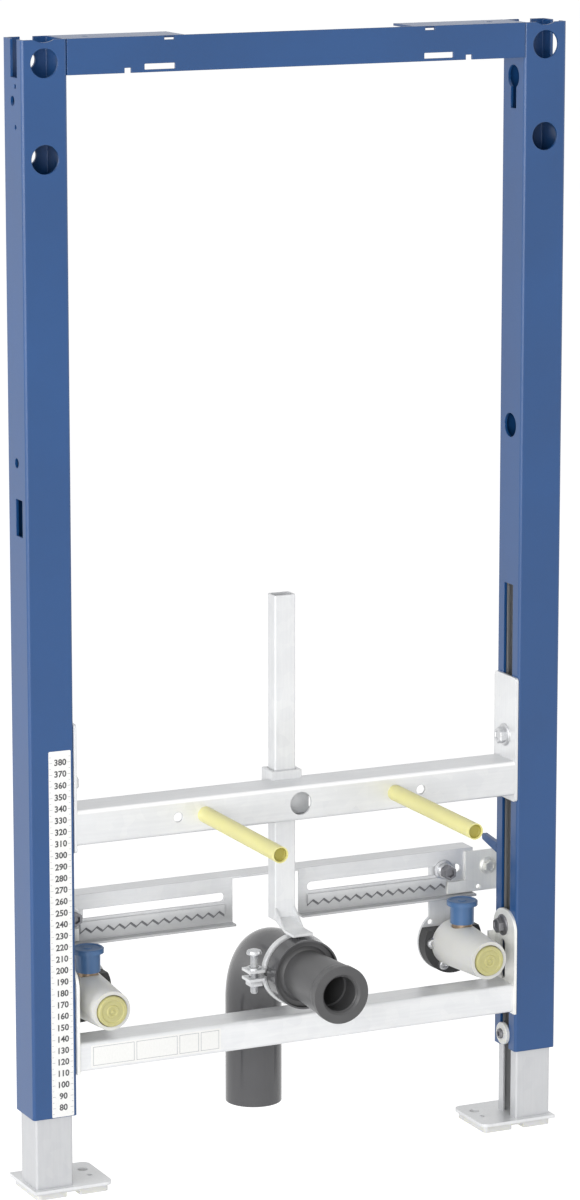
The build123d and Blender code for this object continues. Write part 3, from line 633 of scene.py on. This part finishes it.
# labels: the paper lies on the front of the frame and the print on the paper
PAPER_T = 0.12
PAPER_LIFT = 0.02
PRINT_LIFT = 0.15
INK_HALF = 0.04
DIGIT_H = 7.4
DIGIT_BOLD = 0.22
PAPER_FACE = upright_face(FRONT - PAPER_LIFT)
PRINT_FACE = upright_face(FRONT - PRINT_LIFT)


def number(text):
    """Mesh of plain digits, in millimetres, centred on the origin."""
    curve = bpy.data.curves.new("digits", "FONT")
    curve.body = text
    curve.size = DIGIT_H
    curve.align_x = "CENTER"
    curve.align_y = "CENTER"
    curve.extrude = INK_HALF
    curve.offset = DIGIT_BOLD
    curve.resolution_u = 3
    obj = bpy.data.objects.new("digits", curve)
    bpy.context.scene.collection.objects.link(obj)
    bpy.context.view_layer.update()
    mesh = bpy.data.meshes.new_from_object(obj.evaluated_get(bpy.context.evaluated_depsgraph_get()))
    bpy.data.objects.remove(obj)
    bpy.data.curves.remove(curve)
    return mesh


# scale on the left upright, whose numbers are heights over the feet at rest
SCALE_W = 20.0
SCALE_X = -UPRIGHT.low.x - 13.0
SCALE_LEFT = SCALE_X - SCALE_W / 2
SCALE_RIGHT = SCALE_X + SCALE_W / 2
SCALE_BOTTOM = UPRIGHT.low.z + 0.5
SCALE_TOP = 390.0
SCALE_CORNER = 1.0
NUMBERS = range(80, 390, 10)
TICKS = range(75, 390, 5)
DIGIT_RIGHT = 0.4
LONG_TICK = 2.6
SHORT_TICK = 1.4
TICK_MARGIN = 0.6
TICK_HALF = 0.2
bm = bmesh.new()
slab(bm, rounded(SCALE_LEFT, SCALE_BOTTOM, SCALE_RIGHT, SCALE_TOP, SCALE_CORNER), 0.0, PAPER_T)
piece("scale_label", bm, LABEL, "frame", PAPER_FACE)
bm = bmesh.new()
for height in NUMBERS:
    mesh = number(str(height))
    mesh.transform(Matrix.Translation((SCALE_X + DIGIT_RIGHT, height, 0)))
    bm.from_mesh(mesh)
    bpy.data.meshes.remove(mesh)
piece("scale_numbers", bm, INK, "frame", PRINT_FACE)
bm = bmesh.new()
for height in TICKS:
    length = SHORT_TICK if height % NUMBERS.step else LONG_TICK
    for edge, way in ((SCALE_LEFT + TICK_MARGIN, 1), (SCALE_RIGHT - TICK_MARGIN, -1)):
        x0, x1 = sorted((edge, edge + way * length))
        slab(bm, square(x0, height - TICK_HALF, x1, height + TICK_HALF), -INK_HALF, INK_HALF)
piece("scale_ticks", bm, INK_PALE, "frame", PRINT_FACE)

# bare label with empty frames on the lower bar
LABEL_W = 121.0
LABEL_LEFT = LOW_BAR.low.x + 10.5
LABEL_MARGIN = 3.0
LABEL_BOTTOM = LOW_BAR.low.z + LABEL_MARGIN
LABEL_TOP = LOW_BAR.high.z - LABEL_MARGIN
LABEL_CORNER = 1.2
FRAME_WIDTHS = (38.0, 38.0, 18.0, 17.0)
FRAME_GAP = 2.0
FRAME_MARGIN = 1.5
FRAME_BOTTOM = LABEL_BOTTOM + FRAME_MARGIN
FRAME_TOP = LABEL_TOP - FRAME_MARGIN
FRAME_LINE = 0.4
bm = bmesh.new()
slab(bm, rounded(LABEL_LEFT, LABEL_BOTTOM, LABEL_LEFT + LABEL_W, LABEL_TOP, LABEL_CORNER), 0.0, PAPER_T)
piece("bar_label", bm, LABEL, "frame", PAPER_FACE)
bm = bmesh.new()
x1 = LABEL_LEFT
for width in FRAME_WIDTHS:
    x0 = x1 + FRAME_GAP
    x1 = x0 + width
    lines = (
        square(x0, FRAME_BOTTOM, x1, FRAME_BOTTOM + FRAME_LINE),
        square(x0, FRAME_TOP - FRAME_LINE, x1, FRAME_TOP),
        square(x0, FRAME_BOTTOM, x0 + FRAME_LINE, FRAME_TOP),
        square(x1 - FRAME_LINE, FRAME_BOTTOM, x1, FRAME_TOP),
    )
    for line in lines:
        slab(bm, line, -INK_HALF, INK_HALF)
piece("bar_label_frames", bm, INK_PALE, "frame", PRINT_FACE)

# floor, in metres, at the feet of the legs at their longest
FLOOR_HALF = 60.0
FLOOR_GLOW = 0.6
LEG_JOINT = next(row for row in frame["record"]["behaviour"]["joints"] if row["name"] == "left_leg_slide")
LEG_REACH = LEG_JOINT["range_m"][1]
floor_mesh = bpy.data.meshes.new("floor")
corners = [(x, y, 0) for x, y in square(-FLOOR_HALF, -FLOOR_HALF, FLOOR_HALF, FLOOR_HALF)]
floor_mesh.from_pydata(corners, [], [(0, 1, 2, 3)])
floor = bpy.data.objects.new("floor", floor_mesh)
floor.location.z = -LEG_REACH
bpy.context.scene.collection.objects.link(floor)


def seen_rays(tree):
    """One for camera, glossy and transmission rays and nought for the rest."""
    path = tree.nodes.new("ShaderNodeLightPath")
    value = path.outputs["Is Camera Ray"]
    for name in ("Is Glossy Ray", "Is Transmission Ray"):
        join = tree.nodes.new("ShaderNodeMath")
        join.operation = "MAXIMUM"
        tree.links.new(value, join.inputs[0])
        tree.links.new(path.outputs[name], join.inputs[1])
        value = join.outputs[0]
    return value


ground = Paint("pale_floor", 0.9, specular=0.0)
ground.color(ground.ramp(ground.noise(scale=3.0), [(0.3, grey(0.76)), (0.7, grey(0.8))]))
ground.bsdf.inputs["Emission Color"].default_value = grey(1)
glow = ground.math("MULTIPLY", seen_rays(ground.mat.node_tree), FLOOR_GLOW)
ground.feed(ground.bsdf.inputs["Emission Strength"], glow)
floor_mesh.materials.append(ground.mat)

# white surroundings, which light the object at a lower level than they show
AMBIENT = 0.54
world = bpy.data.worlds.new("studio")
bpy.context.scene.world = world
world.use_nodes = True
sky = world.node_tree
level = sky.nodes.new("ShaderNodeMapRange")
level.inputs["To Min"].default_value = AMBIENT
level.inputs["To Max"].default_value = 1.0
sky.links.new(seen_rays(sky), level.inputs["Value"])
sky.nodes["Background"].inputs["Color"].default_value = grey(1)
sky.links.new(level.outputs["Result"], sky.nodes["Background"].inputs["Strength"])


# lamps and camera, in metres
def look_from(place, target):
    """Rotation that points the local -Z axis from a place to a target."""
    return (Vector(target) - Vector(place)).to_track_quat("-Z", "Y").to_euler()


def lamp(name, place, target, size, power):
    """Square lamp turned to a target, with its power in watts."""
    light = bpy.data.lights.new(name, "AREA")
    light.shape = "SQUARE"
    light.size = size
    light.energy = power
    obj = bpy.data.objects.new(name, light)
    obj.location = place
    obj.rotation_euler = look_from(place, target)
    bpy.context.scene.collection.objects.link(obj)


lamp("key", place=(-2.4, -3.5, 1.0), target=(0, 0, 0.4), size=2.0, power=88)
lamp("left", place=(-3.8, -0.9, 1.2), target=(0, 0, 0.5), size=2.0, power=67)
lamp("fill", place=(3.4, -2.0, 1.4), target=(0, 0, 0.45), size=2.2, power=19)

# the photo's camera, as fitted to the scale on the upright
EYE = (-1.6192, -3.3867, 1.2622)
AIM = (-0.01057, 0.0135, 0.49995)
FOCAL_PX = 4527.26
IMAGE_H_PX = 1200.0
SENSOR_MM = 36.0
CLIP_END = 200.0
camera_data = bpy.data.cameras.new("camera")
camera_data.sensor_fit = "VERTICAL"
camera_data.sensor_height = SENSOR_MM
camera_data.lens = FOCAL_PX / IMAGE_H_PX * SENSOR_MM
camera_data.clip_end = CLIP_END
camera = bpy.data.objects.new("camera", camera_data)
camera.location = EYE
camera.rotation_euler = look_from(EYE, AIM)
bpy.context.scene.collection.objects.link(camera)
bpy.context.scene.camera = camera
bpy.context.scene.view_settings.view_transform = "Standard"
